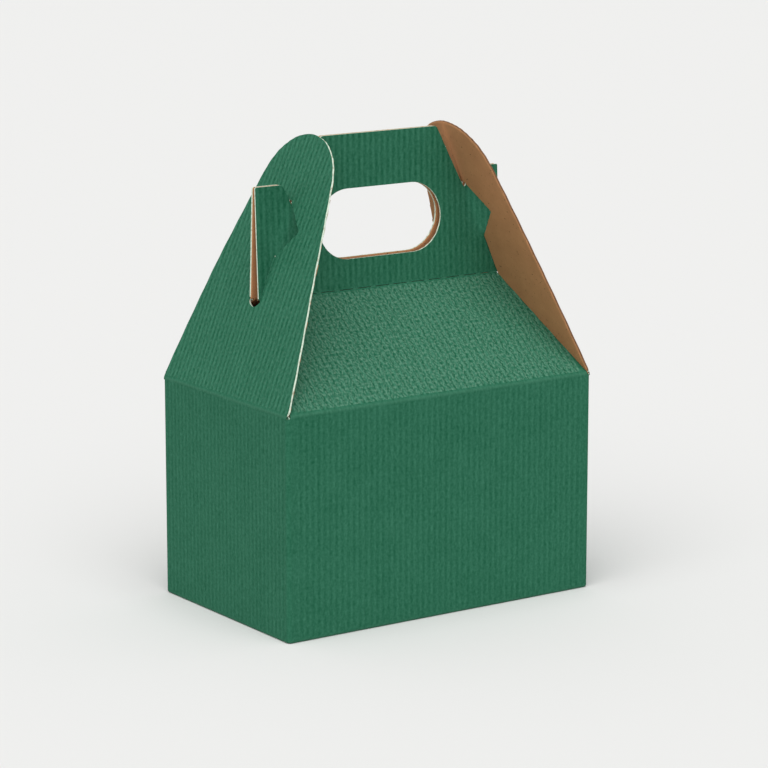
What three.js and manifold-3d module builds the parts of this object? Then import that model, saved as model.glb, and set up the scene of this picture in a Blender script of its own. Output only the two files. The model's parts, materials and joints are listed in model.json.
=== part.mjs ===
// Gable box: a carton folded from one sheet of fine corrugated board. Its two long walls run up
// into sloping roofs and a double carrying handle, and its two end flaps hook over the handle's tabs.
// Millimetres, Z up. The origin is at the middle of the underside, and X runs along the handle.

import * as THREE from 'three';
import { mergeVertices } from 'three/addons/utils/BufferGeometryUtils.js';
import Module from 'manifold-3d';

const wasm = await Module();
wasm.setup();

// The carton
const boxLength = 203;
const boxDepth = 127.5;
const wallHeight = 124.4;
const boardThickness = 1.5;
const foldRadius = 2.2; // of the middle of the board, at every fold
const cornerRadius = 2.8; // outside, at the upright corners
const creaseRise = 51.5; // from the wall tops to the creases below the handle
const floorLayers = 2; // the bottom flaps lie over each other
const floorSeamY = 14; // free edge of the outer bottom flap
const floorSeamWidth = 0.8;
const floorSeamMargin = 3;
const glueFlapWidth = 28;
const glueFlapDrop = 6; // its top lies this far below the wall tops

// The handle, with heights measured up from the creases
const handleHeight = 86.3;
const handleSideGap = 5.7; // between the handle's top corner and the end flap
const handleCornerRadius = 1.6;
const panelGapAtCrease = 6.4; // between the two handle panels
const panelGapAtTop = 0.6;
const holeHalfLength = 41;
const holeHeight = 39;
const holeMiddle = 36.6;

// The tabs at both ends of the handle, which the end flaps hook over
const tabHeight = 61.6;
const tabOverhang = 0.4; // past the end flap's outer face, at the crease
const tabCornerRadius = 0.8;
const hookDepth = 10.8; // of the notch that the head of the end flap's slot drops into
const hookMouthGap = 7.8; // between the tab and the end flap, at the tab's top
const hookMouthRadius = 2.6;
const hookRootGap = 1.5; // between the notch's root and the end flap's inner face
const hookRootWidth = 1.2;

// The end flaps
const flapLean = THREE.MathUtils.degToRad(21.9);
const flapHeadLength = 31.4; // from the head of its slot to its top
const flapTopRadius = 34.5;
const flapSideBow = 1.6; // how far each side edge bows out at its middle
const flapSideEnd = THREE.MathUtils.degToRad(16); // where the side edge meets the round top
const flapFoldGap = 0.3;
const flapClearance = 0.3; // between the flap and the roof edges that it leans on
const flapCornerInset = 0.3;

// The slot in each end flap
const slotClearance = 0.4;
const slotFootDepth = 3; // of its round foot, below the crease
const slotFootRise = 1; // the foot's arc starts this far below the crease
const slotNotchReach = 19; // of the side notches, from the flap's middle
const slotNotchDrop = 22.7; // from the slot's head to the notches' tips
const slotNotchAbove = 15; // height of a notch above its tip
const slotNotchBelow = 17;
const slotNotchRadius = 1.2;

// The pressed ribs, drawn as fine grooves that part them
const ribPitch = 3.8;
const grooveWidth = 1.5;
const grooveDepth = 0.25;
const grooveMargin = 3.5; // between a groove and a fold beside it
const grooveEndMargin = 2.5; // between a groove's end and the fold or edge that it stops at

const boardGreen = 0x22684e;
const boardRoughness = 0.85;

const bendSteps = 3;
const roundSteps = 20;
const cutterReach = 1; // how far a cutting solid stands out past what it cuts
const outerSkin = 0.02; // the groove cutters' teeth are joined this far outside the board

const halfLength = boxLength / 2;
const halfDepth = boxDepth / 2;
const creaseHeight = wallHeight + creaseRise;
const handleTop = creaseHeight + handleHeight;
const tabTop = creaseHeight + tabHeight;
const floorThickness = floorLayers * boardThickness;
const flapFaceShift = boardThickness / Math.cos(flapLean);

// The end flap's outer and inner faces at a height, as distances from the middle of the box
const flapOuterX = (z) => halfLength - (z - wallHeight) * Math.tan(flapLean);
const flapInnerX = (z) => flapOuterX(z) - flapFaceShift;
const tabHalf = flapOuterX(creaseHeight) + tabOverhang;
const hookMouthX = flapOuterX(tabTop) + hookMouthGap;

// The slot's head clears the hook's mouth as the flap swings out, because that is the part of the
// tab which lies farthest from the flap's fold
const slotHead = Math.hypot(halfLength - hookMouthX, tabTop - wallHeight) + slotClearance;
const flapLength = slotHead + flapHeadLength;

// Solids

const toSolid = (geometry) => {
  const bare = geometry.clone();
  bare.deleteAttribute('normal');
  bare.deleteAttribute('uv');
  const merged = mergeVertices(bare, 1e-4);
  return new wasm.Manifold(new wasm.Mesh({
    numProp: 3,
    vertProperties: new Float32Array(merged.attributes.position.array),
    triVerts: new Uint32Array(merged.index.array),
  }));
};

const toGeometry = (solid) => {
  const mesh = solid.getMesh();
  const geometry = new THREE.BufferGeometry();
  geometry.setAttribute('position', new THREE.BufferAttribute(mesh.vertProperties, 3));
  geometry.setIndex(new THREE.BufferAttribute(mesh.triVerts, 1));
  geometry.computeVertexNormals();
  return geometry;
};

const joined = (solids) => solids.reduce((whole, solid) => whole.add(solid));

const box = (low, high) => {
  const size = new THREE.Vector3().subVectors(high, low);
  const middle = new THREE.Vector3().addVectors(low, high).multiplyScalar(0.5);
  const geometry = new THREE.BoxGeometry(size.x, size.y, size.z);
  return toSolid(geometry.translate(middle.x, middle.y, middle.z));
};

// An outline pushed through a plane's normal, from depth low to depth high along it
const pushed = (shape, low, high, axisU, axisV) => {
  const geometry = new THREE.ExtrudeGeometry(shape, { depth: high - low, bevelEnabled: false });
  const axisW = new THREE.Vector3().crossVectors(axisU, axisV);
  geometry.translate(0, 0, low);
  geometry.applyMatrix4(new THREE.Matrix4().makeBasis(axisU, axisV, axisW));
  return toSolid(geometry);
};

const alongX = new THREE.Vector3(1, 0, 0);
const alongY = new THREE.Vector3(0, 1, 0);
const alongZ = new THREE.Vector3(0, 0, 1);

// Outlines

const point = (a, b) => new THREE.Vector2(a, b);
const mirrored = (points) => points.map((p) => point(-p.x, p.y)).reverse();

const arc = (middle, radius, from, to, steps) => {
  const points = [];
  for (let i = 0; i <= steps; i += 1) {
    const angle = from + ((to - from) * i) / steps;
    points.push(point(middle.x + radius * Math.cos(angle), middle.y + radius * Math.sin(angle)));
  }
  return points;
};

// A corner of an outline, rounded to a radius
const rounded = (before, corner, after, radius, steps = bendSteps) => {
  const inward = corner.clone().sub(before).normalize();
  const outward = after.clone().sub(corner).normalize();
  const turn = Math.atan2(inward.cross(outward), inward.dot(outward));
  const start = corner.clone().addScaledVector(inward, -radius * Math.tan(Math.abs(turn) / 2));
  const side = point(-inward.y, inward.x).multiplyScalar(Math.sign(turn));
  const middle = start.clone().addScaledVector(side, radius);
  const from = Math.atan2(-side.y, -side.x);
  return arc(middle, radius, from, from + turn, steps);
};

const roundedRectangle = (halfWide, halfDeep, radius) => {
  const corners = [
    point(halfWide, -halfDeep),
    point(halfWide, halfDeep),
    point(-halfWide, halfDeep),
    point(-halfWide, -halfDeep),
  ];
  return new THREE.Shape(corners.flatMap((corner, i) => (
    rounded(corners[(i + 3) % 4], corner, corners[(i + 1) % 4], radius)
  )));
};

// The carton's section across the handle: the middle of the board on the front half
const sectionPath = [
  point(-(panelGapAtTop + boardThickness) / 2, handleTop),
  point(-(panelGapAtCrease + boardThickness) / 2, creaseHeight),
  point(-(halfDepth - boardThickness / 2), wallHeight),
  point(-(halfDepth - boardThickness / 2), boardThickness / 2),
  point(0, boardThickness / 2),
];

// The front half of one face of the folded board, offset from its middle; outside is positive
const sectionFace = (offset) => {
  const ways = sectionPath.slice(1).map((p, i) => p.clone().sub(sectionPath[i]).normalize());
  const shifted = (p, way) => point(p.x + way.y * offset, p.y - way.x * offset);
  const last = sectionPath.length - 1;
  const points = [shifted(sectionPath[0], ways[0])];
  for (let i = 1; i < last; i += 1) {
    const turn = Math.atan2(ways[i - 1].cross(ways[i]), ways[i - 1].dot(ways[i]));
    const bend = rounded(...sectionPath.slice(i - 1, i + 2), foldRadius);
    bend.forEach((p, k) => {
      const way = ways[i - 1].clone().rotateAround(point(0, 0), (turn * k) / bendSteps);
      points.push(shifted(p, way));
    });
  }
  points.push(shifted(sectionPath[last], ways[last - 1]));
  return points;
};

// The carton seen from the front, with the tabs and their hook notches
const frontView = () => {
  const tabCorner = point(tabHalf, tabTop);
  const mouth = point(hookMouthX, tabTop);
  const hookRoot = tabTop - hookDepth;
  const rootInner = point(flapInnerX(hookRoot) - hookRootGap, hookRoot);
  const rootOuter = point(rootInner.x + hookRootWidth, hookRoot);
  const handleCorner = point(flapInnerX(handleTop) - handleSideGap, handleTop);
  const foot = point(halfLength, 0);
  const half = [
    ...rounded(point(0, 0), foot, point(halfLength, wallHeight), foldRadius),
    point(halfLength, wallHeight),
    point(flapInnerX(wallHeight) - flapClearance, wallHeight),
    point(flapInnerX(creaseHeight) - flapClearance, creaseHeight),
    point(tabHalf, creaseHeight),
    ...rounded(point(tabHalf, creaseHeight), tabCorner, mouth, tabCornerRadius),
    ...rounded(tabCorner, mouth, rootOuter, hookMouthRadius),
    rootOuter,
    rootInner,
    ...rounded(rootInner, handleCorner, point(0, handleTop), handleCornerRadius),
  ];
  const view = new THREE.Shape([...half, ...mirrored(half)]);
  const holeRadius = holeHeight / 2;
  const holeEnd = holeHalfLength - holeRadius;
  const holeZ = creaseHeight + holeMiddle;
  const quarter = Math.PI / 2;
  view.holes.push(new THREE.Path([
    ...arc(point(holeEnd, holeZ), holeRadius, quarter, -quarter, roundSteps),
    ...arc(point(-holeEnd, holeZ), holeRadius, -quarter, -3 * quarter, roundSteps),
  ]));
  return view;
};

// A comb that cuts the grooves between the ribs of a panel. The panel lies at an origin, with v
// along its ribs and w out of its face. The comb's teeth reach grooveDepth into that face
const grooveComb = (origin, axisV, axisW, halfWidth, from, to) => {
  const count = 2 * Math.floor((halfWidth - grooveWidth / 2) / ribPitch + 0.5);
  const teeth = [];
  for (let i = 0; i < count; i += 1) {
    const u = (i - (count - 1) / 2) * ribPitch;
    teeth.push(point(u - grooveWidth / 2, outerSkin));
    teeth.push(point(u, -grooveDepth));
    teeth.push(point(u + grooveWidth / 2, outerSkin));
  }
  const edge = teeth[teeth.length - 1].x + cutterReach;
  const outline = [point(-edge, cutterReach), point(-edge, outerSkin), ...teeth,
    point(edge, outerSkin), point(edge, cutterReach)];
  const shape = new THREE.Shape(outline);
  const geometry = new THREE.ExtrudeGeometry(shape, { depth: to - from, bevelEnabled: false });
  const axisU = new THREE.Vector3().crossVectors(axisV, axisW);
  geometry.translate(0, 0, -to);
  geometry.applyMatrix4(new THREE.Matrix4().makeBasis(axisU, axisW, axisV.clone().negate()));
  return toSolid(geometry.translate(origin.x, origin.y, origin.z));
};

// The combs of one long side, side -1 in front and 1 behind: wall, roof and handle panel
const longSideCombs = (side) => {
  const [panelTop, crease, wallTop, wallFoot] = sectionPath;
  const panels = [
    { foot: wallFoot, head: wallTop, halfWidth: halfLength - grooveMargin, run: -grooveEndMargin },
    { foot: wallTop, head: crease, halfWidth: halfLength, run: -grooveEndMargin },
    { foot: crease, head: panelTop, halfWidth: tabHalf, run: cutterReach },
  ];
  return panels.map(({ foot, head, halfWidth, run }) => {
    const up = head.clone().sub(foot);
    const length = up.length();
    up.normalize();
    const face = point(foot.x - up.y * boardThickness / 2, foot.y + up.x * boardThickness / 2);
    return grooveComb(
      new THREE.Vector3(0, -side * face.x, face.y),
      new THREE.Vector3(0, -side * up.x, up.y),
      new THREE.Vector3(0, side * up.y, up.x),
      halfWidth,
      grooveEndMargin,
      length + run,
    );
  });
};

const endWallComb = (side) => grooveComb(
  new THREE.Vector3(side * halfLength, 0, 0),
  alongZ,
  new THREE.Vector3(side, 0, 0),
  halfDepth - grooveMargin,
  grooveEndMargin,
  wallHeight + cutterReach,
);

// The carton: floor, walls, roofs and handle panels in one piece
const makeCarton = () => {
  const wide = boxLength + 2 * cutterReach;
  const outerFace = sectionFace(boardThickness / 2);
  const innerFace = sectionFace(-boardThickness / 2);
  innerFace.unshift(point(innerFace[0].x, handleTop + cutterReach));
  const outside = pushed(
    new THREE.Shape([...outerFace, ...mirrored(outerFace)]), -wide / 2, wide / 2, alongY, alongZ,
  );
  const inside = pushed(
    new THREE.Shape([...innerFace, ...mirrored(innerFace)]), -wide / 2, wide / 2, alongY, alongZ,
  );
  const deep = halfDepth + cutterReach;
  const front = pushed(frontView(), -deep, deep, alongX, alongZ);
  const plan = pushed(
    roundedRectangle(halfLength, halfDepth, cornerRadius), 0, handleTop, alongX, alongY,
  );
  const insideCorner = cornerRadius - boardThickness;
  const room = pushed(
    roundedRectangle(halfLength - boardThickness, halfDepth - boardThickness, insideCorner),
    floorThickness, wallHeight, alongX, alongY,
  );
  const aboveWalls = box(
    new THREE.Vector3(-wide / 2, -deep, wallHeight),
    new THREE.Vector3(wide / 2, deep, handleTop + 2 * cutterReach),
  );
  const seam = box(
    new THREE.Vector3(floorSeamMargin - halfLength, floorSeamY, -cutterReach),
    new THREE.Vector3(halfLength - floorSeamMargin, floorSeamY + floorSeamWidth, boardThickness),
  );
  const glueFlap = box(
    new THREE.Vector3(boardThickness / 2 - halfLength, halfDepth - 2 * boardThickness, boardThickness),
    new THREE.Vector3(
      glueFlapWidth - halfLength, halfDepth - boardThickness / 2, wallHeight - glueFlapDrop,
    ),
  );
  const combs = [-1, 1].flatMap((side) => [...longSideCombs(side), endWallComb(side)]);
  return outside
    .intersect(front)
    .intersect(plan)
    .subtract(inside.intersect(joined([room, aboveWalls])))
    .add(glueFlap)
    .subtract(seam)
    .subtract(joined(combs));
};

// The middle of a handle panel at a height, as a distance from the middle of the box
const panelMiddle = (z) => {
  const share = (z - creaseHeight) / handleHeight;
  return (boardThickness + panelGapAtCrease + (panelGapAtTop - panelGapAtCrease) * share) / 2;
};

// An end flap in the frame of its fold: Z up the flap, Y across it, and its outer face at X = 0
const flapOutline = () => {
  const footHalf = halfDepth - flapCornerInset;
  const topMiddle = point(0, flapLength - flapTopRadius);
  const top = arc(topMiddle, flapTopRadius, flapSideEnd, Math.PI / 2, roundSteps / 2);
  const foot = point(footHalf, -boardThickness);
  const sideMiddle = foot.clone().add(top[0]).multiplyScalar(0.5);
  sideMiddle.x += 2 * flapSideBow;
  const side = new THREE.QuadraticBezierCurve(foot, sideMiddle, top[0]).getPoints(roundSteps / 2);
  const half = [...side.slice(0, -1), ...top.slice(0, -1)];
  return new THREE.Shape([...half, point(0, flapLength), ...mirrored(half)]);
};

// Up the flap, in the frame of its fold, at a height in the carton's frame
const upFlap = (z) => (z - wallHeight) / Math.cos(flapLean);

// The slot clears both handle panels all the way up
const slotOutline = () => {
  const halfWidthAt = (v) => (
    panelMiddle(wallHeight + v * Math.cos(flapLean)) + boardThickness / 2 + slotClearance
  );
  const footRise = upFlap(creaseHeight) - slotFootRise;
  const footHalf = halfWidthAt(footRise);
  const footRadius = (footHalf ** 2 + slotFootDepth ** 2) / (2 * slotFootDepth);
  const footAngle = Math.asin(footHalf / footRadius);
  const footMiddle = point(0, footRise - slotFootDepth + footRadius);
  const down = -Math.PI / 2;
  const notchTip = point(slotNotchReach, slotHead - slotNotchDrop);
  const footHeight = notchTip.y - slotNotchBelow;
  const headHeight = notchTip.y + slotNotchAbove;
  const notchFoot = point(halfWidthAt(footHeight), footHeight);
  const notchHead = point(halfWidthAt(headHeight), headHeight);
  const half = [
    ...arc(footMiddle, footRadius, down, down + footAngle, bendSteps),
    notchFoot,
    ...rounded(notchFoot, notchTip, notchHead, slotNotchRadius),
    notchHead,
    point(halfWidthAt(slotHead), slotHead),
  ];
  return new THREE.Shape([...half, ...mirrored(half.slice(1))]);
};

const makeFlap = () => {
  const sheet = pushed(flapOutline(), -boardThickness, 0, alongY, alongZ);
  const slot = pushed(
    slotOutline(), -boardThickness - cutterReach, cutterReach, alongY, alongZ,
  );
  const comb = grooveComb(
    new THREE.Vector3(), alongZ, alongX, halfDepth, grooveEndMargin, flapLength + cutterReach,
  );
  const footSize = 4 * cutterReach;
  const foot = new THREE.BoxGeometry(2 * footSize, boxDepth + 2 * cutterReach, footSize);
  foot.translate(0, 0, flapFoldGap - footSize / 2);
  foot.rotateY(flapLean);
  return sheet.subtract(slot).subtract(comb).subtract(toSolid(foot));
};

// The group

const boardMaterial = (name) => new THREE.MeshStandardMaterial({
  name,
  color: boardGreen,
  roughness: boardRoughness,
  metalness: 0,
});

const named = (name, solid) => {
  const mesh = new THREE.Mesh(toGeometry(solid), boardMaterial('green_board'));
  mesh.name = name;
  return mesh;
};

const gableBox = new THREE.Group();
gableBox.name = 'gable_box';
gableBox.add(named('carton', makeCarton()));

for (const [name, turn] of [['right_end_flap', 0], ['left_end_flap', Math.PI]]) {
  const flap = named(name, makeFlap());
  flap.position.x = halfLength;
  flap.rotation.y = -flapLean;
  const fold = new THREE.Group();
  fold.position.z = wallHeight;
  fold.rotation.z = turn;
  fold.add(flap);
  gableBox.add(fold);
}

export default gableBox;
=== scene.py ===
"""A gable box in its finishes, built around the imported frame.

The carton is die-cut from one sheet of fine fluted board, printed green outside and plain kraft
inside. Each panel is cut flat, ribbed, folded along its scores and given the board's thickness. The
two end flaps turn about their own folds and hook over the handle's tabs. Metres, Z up.
"""

import json
import logging
import math
import random
from dataclasses import dataclass, field
from enum import Enum
from typing import Iterable, Sequence

import bmesh
import bpy
from mathutils import Matrix, Vector


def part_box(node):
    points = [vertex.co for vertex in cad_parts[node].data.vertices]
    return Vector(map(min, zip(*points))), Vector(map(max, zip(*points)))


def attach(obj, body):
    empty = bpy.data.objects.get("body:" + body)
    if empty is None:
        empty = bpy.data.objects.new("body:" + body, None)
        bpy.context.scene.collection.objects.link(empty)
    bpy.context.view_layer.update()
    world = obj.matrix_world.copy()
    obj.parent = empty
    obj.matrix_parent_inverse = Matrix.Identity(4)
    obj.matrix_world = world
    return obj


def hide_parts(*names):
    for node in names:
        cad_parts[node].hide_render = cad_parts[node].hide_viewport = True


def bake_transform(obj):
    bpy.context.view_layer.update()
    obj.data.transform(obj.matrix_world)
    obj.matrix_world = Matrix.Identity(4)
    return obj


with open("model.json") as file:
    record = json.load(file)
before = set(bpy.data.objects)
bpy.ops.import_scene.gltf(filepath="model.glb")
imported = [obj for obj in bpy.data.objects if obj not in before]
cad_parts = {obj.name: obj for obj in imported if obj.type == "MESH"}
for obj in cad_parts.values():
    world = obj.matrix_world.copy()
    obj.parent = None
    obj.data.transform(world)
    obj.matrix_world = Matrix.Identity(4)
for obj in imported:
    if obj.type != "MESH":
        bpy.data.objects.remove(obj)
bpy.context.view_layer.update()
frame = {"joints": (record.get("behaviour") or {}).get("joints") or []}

Colour = tuple[float, float, float]

MM = 0.001
TINY = 1e-6
# How near to each other points count as one: in an outline, along a seam and on a cut.
CORNER_MERGE = 20 * TINY
SEAM_MERGE = 10 * TINY
CUT_REACH = TINY / 10
# The middle value of a pattern that runs from 0 to 1.
MIDDLE_TONE = 0.5
# Where a Mix node has its two colours, and their mix.
MIX_COLOURS = slice(6, 8)
MIX_RESULT = 2
FLAT_MAP = "flat"
THICKNESS_GROUP = "board"
# The ribs' strength: it sets their depth, their painted light and shade, and where the painted sheen
# goes.
RIB_LAYER = "rib"
# Nearness to a fold's ridge: the print's wear there, and the cut edge's painted shade inside the
# slits.
FOLD_WEAR_AND_SLIT_SHADE_LAYER = "wear"

log = logging.getLogger("gable_box")


def path_length(points: Sequence[tuple[float, float]]) -> float:
    """Gives the length of a line through points."""
    return sum((Vector(b) - Vector(a)).length for a, b in zip(points, points[1:]))


def to_mesh(bm: bmesh.types.BMesh, name: str) -> bpy.types.Mesh:
    """Turns a bmesh into a mesh.

    Args:
        bm: The bmesh, which is used up.
        name: The mesh's name.

    Returns:
        The mesh.
    """
    mesh = bpy.data.meshes.new(name)
    bm.to_mesh(mesh)
    bm.free()
    return mesh


def put_in_scene(name: str, data: bpy.types.ID) -> bpy.types.Object:
    """Makes an object and links it to the scene.

    Args:
        name: The object's name.
        data: Its mesh, lamp or camera.

    Returns:
        The object.
    """
    thing = bpy.data.objects.new(name, data)
    bpy.context.scene.collection.objects.link(thing)
    return thing


class Side(Enum):
    """An end of the box, with its turn about the upright middle line."""

    RIGHT = 0.0
    LEFT = math.pi

    @property
    def word(self) -> str:
        """The side's name in small letters."""
        return self.name.lower()


class Face(Enum):
    """A long side of the box, with its turn about the upright middle line."""

    FRONT = 0.0
    BACK = math.pi


class Surface(Enum):
    """The board's surfaces, as places in a piece's list of materials."""

    PRINT = 0
    LINER = 1
    EDGE = 2
    # The right flap's cut edge: brown, darkened with painted shade.
    BROWN_PAINTED_SHADE_EDGE = 3


@dataclass(frozen=True)
class Board:
    """Fine fluted board: its thickness, its folds and the ribs that its flutes press through.

    Attributes:
        crushed_share: What is left of the thickness along a die-cut edge.
        fold_radius: Bend radius of the middle of the board.
        foot_radius: The same at the sharper folds round the floor.
        corner_radius: The same at the upright corners.
        rib_steps: Columns of faces across one rib.
        fade_start: How far from a bend the ribs start to rise.
        fade_length: Over what distance they rise to their full height.
        fade_steps: Rows of faces in that distance.
        bend_steps: Rows of faces in half a bend.
        edge_width: How far in from the edge the board is crushed.
        edge_blend: Width of the band where the crushed part meets the plane board.
        wear_reach: How far from a fold's ridge the print is rubbed.
    """

    thickness: float = 1.5 * MM
    crushed_share: float = 0.66
    fold_radius: float = 1.5 * MM
    foot_radius: float = 0.8 * MM
    corner_radius: float = 1.4 * MM
    rib_pitch: float = 3.8 * MM
    rib_steps: int = 6
    rib_depth: float = 0.22 * MM
    fade_start: float = 0.15 * MM
    fade_length: float = 1.0 * MM
    fade_steps: int = 3
    bend_steps: int = 4
    edge_width: float = 0.7 * MM
    edge_blend: float = 0.25 * MM
    wear_reach: float = 1.1 * MM

    @property
    def column(self) -> float:
        """The width of one column of faces."""
        return self.rib_pitch / self.rib_steps


@dataclass(frozen=True)
class Corner:
    """A corner of a flat outline.

    Attributes:
        across: Distance from the sheet's middle, across the ribs.
        along: Distance along the ribs.
        round: How far from the corner its rounding starts, along both edges.
        steps: Segments in the rounding.
    """

    across: float
    along: float
    round: float = 0.0
    steps: int = 4


@dataclass(frozen=True)
class Bend:
    """One rounded corner of a bent line.

    Attributes:
        place: Distance of the sharp corner along the line.
        reach: How far the bend stretches to each side of it.
        start: The angle of the line before the bend.
        turn: The angle that the line turns by, to the left.
    """

    place: float
    reach: float
    centre: Vector
    radius: float
    start: float
    turn: float


class BentLine:
    """A line through corners that are bent to radii, walked by the distance along its sharp form."""

    def __init__(self, corners: Sequence[tuple[float, float]], radii: Sequence[float],
                 start: float) -> None:
        """Lays the line out.

        Args:
            corners: The sharp corners, in order.
            radii: The bend radius at each corner between the two ends.
            start: The distance that the first corner counts as.
        """
        self.corners = [Vector(corner) for corner in corners]
        self.legs = [(b - a) for a, b in zip(self.corners, self.corners[1:])]
        self.places = [start]
        for leg in self.legs:
            self.places.append(self.places[-1] + leg.length)
        self.bends = [self._bend(i + 1, radius) for i, radius in enumerate(radii)]

    def _bend(self, i: int, radius: float) -> Bend:
        """Works out the bend at a corner.

        Args:
            i: The corner's number.
            radius: Its bend radius.

        Returns:
            The bend.
        """
        before, after = self.legs[i - 1].normalized(), self.legs[i].normalized()
        turn = math.atan2(before.x * after.y - before.y * after.x, before.dot(after))
        reach = radius * math.tan(abs(turn) / 2)
        left = Vector((-before.y, before.x)) * math.copysign(radius, turn)
        centre = self.corners[i] - before * reach + left
        return Bend(self.places[i], reach, centre, radius, math.atan2(before.y, before.x), turn)

    def at(self, distance: float) -> tuple[Vector, Vector]:
        """Finds a point of the line.

        Args:
            distance: How far along the sharp line it lies.

        Returns:
            The point, and the outward way there, to the right of the walk.
        """
        for bend in self.bends:
            if abs(distance - bend.place) < bend.reach:
                share = (distance - bend.place + bend.reach) / (2 * bend.reach)
                angle = bend.start + bend.turn * share
                out = Vector((math.sin(angle), -math.cos(angle)))
                return bend.centre + out * math.copysign(bend.radius, bend.turn), out
        i = 0
        while i < len(self.legs) - 1 and distance > self.places[i + 1]:
            i += 1
        way = self.legs[i].normalized()
        point = self.corners[i] + way * (distance - self.places[i])
        return point, Vector((way.y, -way.x))


@dataclass(frozen=True)
class Folding:
    """Where the points of a flat sheet go: round a plan line, and up a section line.

    Attributes:
        turn: The angle that the folded sheet is turned by, about the upright middle line.
    """

    plan: BentLine
    section: BentLine
    turn: float

    def place(self, across: float, along: float, lift: float) -> Vector:
        """Finds where a point of the sheet lies on the folded box.

        Args:
            across: Distance across the ribs.
            along: Distance along the ribs.
            lift: Height above the middle of the board.

        Returns:
            The point in the frame.
        """
        foot, out = self.plan.at(across)
        rise, face = self.section.at(along)
        reach = rise.x + face.x * lift
        spot = Vector((foot.x + out.x * reach, foot.y + out.y * reach, rise.y + face.y * lift))
        return Matrix.Rotation(self.turn, 3, "Z") @ spot


@dataclass(frozen=True)
class RibField:
    """The ribs of one sheet: how strongly each panel shows them, and where they fade out.

    Attributes:
        panels: Pairs of the distance where a panel ends and the strength of its ribs.
        side_limit: Half of the width that has ribs.
        breaks: Further places along the ribs where the sheet is divided.
    """

    board: Board
    folds: Sequence[Bend]
    panels: Sequence[tuple[float, float]]
    side_limit: float
    breaks: Sequence[float] = ()

    def strength(self, across: float, along: float) -> float:
        """Works out how strong the ribs are at a point.

        Args:
            across: Distance across the ribs.
            along: Distance along the ribs.

        Returns:
            The strength, from 0 at a fold to 1.
        """
        board = self.board
        strength = next((s for end, s in self.panels if along <= end), self.panels[-1][1])
        for fold in self.folds:
            away = abs(along - fold.place) - fold.reach - board.fade_start
            strength *= min(1.0, max(0.0, away / board.fade_length))
        inside = (self.side_limit - abs(across)) / board.fade_length
        return strength * min(1.0, max(0.0, inside))

    def height(self, across: float, along: float) -> float:
        """Gives the height of the pressed face, which is highest along each rib's middle."""
        wave = 0.5 - 0.5 * math.cos(math.tau * across / self.board.rib_pitch)
        return -self.board.rib_depth * wave * self.strength(across, along)

    def wear(self, along: float) -> float:
        """Gives the print's wear, and the slits' painted shade, from 1 on a fold's ridge to 0 on a
        panel.
        """
        away = min(abs(along - fold.place) for fold in self.folds)
        return max(0.0, 1 - away / self.board.wear_reach)

    def rows(self, low: float, high: float) -> list[float]:
        """Lists where the sheet is divided along its ribs.

        Args:
            low: The sheet's lower end.
            high: The sheet's upper end.

        Returns:
            The places, inside the sheet and in order.
        """
        board = self.board
        places = set(self.breaks)
        for fold in self.folds:
            for i in range(-board.bend_steps, board.bend_steps + 1):
                places.add(fold.place + fold.reach * i / board.bend_steps)
            for i in range(board.fade_steps + 1):
                away = fold.reach + board.fade_start + board.fade_length * i / board.fade_steps
                places.update((fold.place - away, fold.place + away))
        return sorted(place for place in places if low + TINY < place < high - TINY)


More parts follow.
